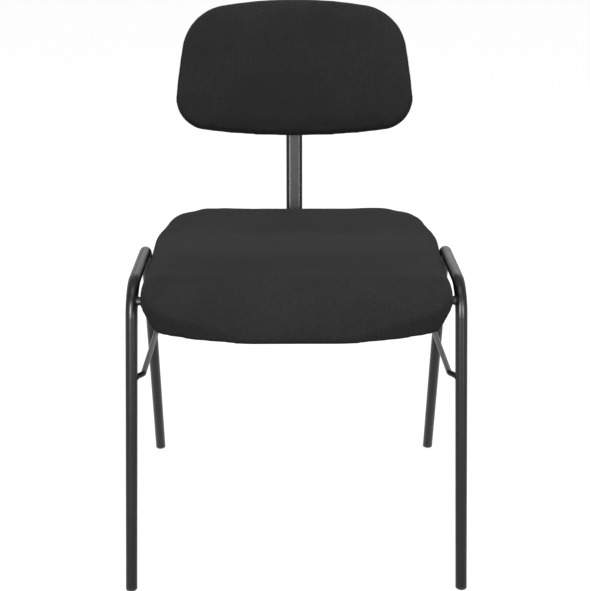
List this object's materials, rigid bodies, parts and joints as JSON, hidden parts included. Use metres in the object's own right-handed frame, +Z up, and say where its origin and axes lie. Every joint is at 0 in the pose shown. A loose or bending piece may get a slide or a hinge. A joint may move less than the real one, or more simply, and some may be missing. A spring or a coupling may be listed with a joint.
{
  "type": "orchestra chair",
  "caption": "Armless musician's chair with bent tube side frames, a saddle-shaped upholstered seat and a tilting back pad that slides on a flat-oval post.",
  "frame": {"origin": "on the floor under the middle of the chair's box", "axes": "+Z up, -Y is the way the seat faces, +X towards the left hand of someone sitting in it"},
  "size_m": [0.511, 0.5852, 0.8153],
  "materials": {
    "frame_paint": "black satin powder coat",
    "cast_paint": "black fine-grained paint on a casting",
    "seat_fabric": "black flat-woven upholstery fabric",
    "plywood": "beech plywood, sanded",
    "shell_plastic": "black moulded cover with a fine grain",
    "black_plastic": "black moulded, matt",
    "knob_plastic": "black moulded, lightly grained",
    "black_rubber": "black rubber",
    "zinc_steel": "zinc plated"
  },
  "bodies": {
    "frame": {"left_side_frame": "frame_paint", "right_side_frame": "frame_paint", "front_cross_tube": "frame_paint", "rear_cross_tube": "frame_paint", "left_side_rod": "frame_paint", "right_side_rod": "frame_paint", "back_post": "frame_paint", "post_top_cap": "black_plastic", "post_front_cap": "black_plastic", "left_front_glide": "black_plastic", "left_rear_glide": "black_plastic", "right_front_glide": "black_plastic", "right_rear_glide": "black_plastic", "front_seat_tabs": "frame_paint", "rear_seat_tabs": "frame_paint", "rear_seat_bracket": "frame_paint", "seat_board": "plywood", "seat_cushion": "seat_fabric", "seat_inserts": "zinc_steel", "seat_screws": "zinc_steel"},
    "carriage": {"back_carriage": "cast_paint", "hinge_bush": "black_rubber", "tilt_buffers": "black_rubber"},
    "shoe": {"clamp_shoe": "black_plastic"},
    "knob": {"clamp_knob": "knob_plastic", "knob_stem": "zinc_steel"},
    "backrest": {"backrest_bracket": "frame_paint", "pivot_pin": "zinc_steel", "backrest_shell": "shell_plastic", "backrest_board": "plywood", "backrest_cushion": "seat_fabric", "backrest_inserts": "zinc_steel", "backrest_screws": "zinc_steel"}
  },
  "joints": [
    {"name": "back_height", "type": "slide", "parent": "frame", "child": "carriage", "axis": [0, 0.2079, 0.9781], "range_m": [-0.035, 0.025]},
    {"name": "back_tilt", "type": "hinge", "parent": "carriage", "child": "backrest", "pos_m": [0, 0.23683, 0.70892], "axis": [1, 0, 0], "range_deg": [-8, 8], "stiffness_Nm_per_rad": 40},
    {"name": "clamp_travel", "type": "slide", "parent": "carriage", "child": "shoe", "axis": [0, 0.9781, -0.2079], "range_m": [0, 0.001]},
    {"name": "knob_turn", "type": "hinge", "parent": "shoe", "child": "knob", "pos_m": [0, 0.296, 0.69635], "axis": [0, 0.9781, -0.2079], "range_deg": [0, 288]}
  ],
  "couplings": [
    {"joint": "knob_turn", "follows": "clamp_travel", "rad_per_m": 5026.5}
  ]
}
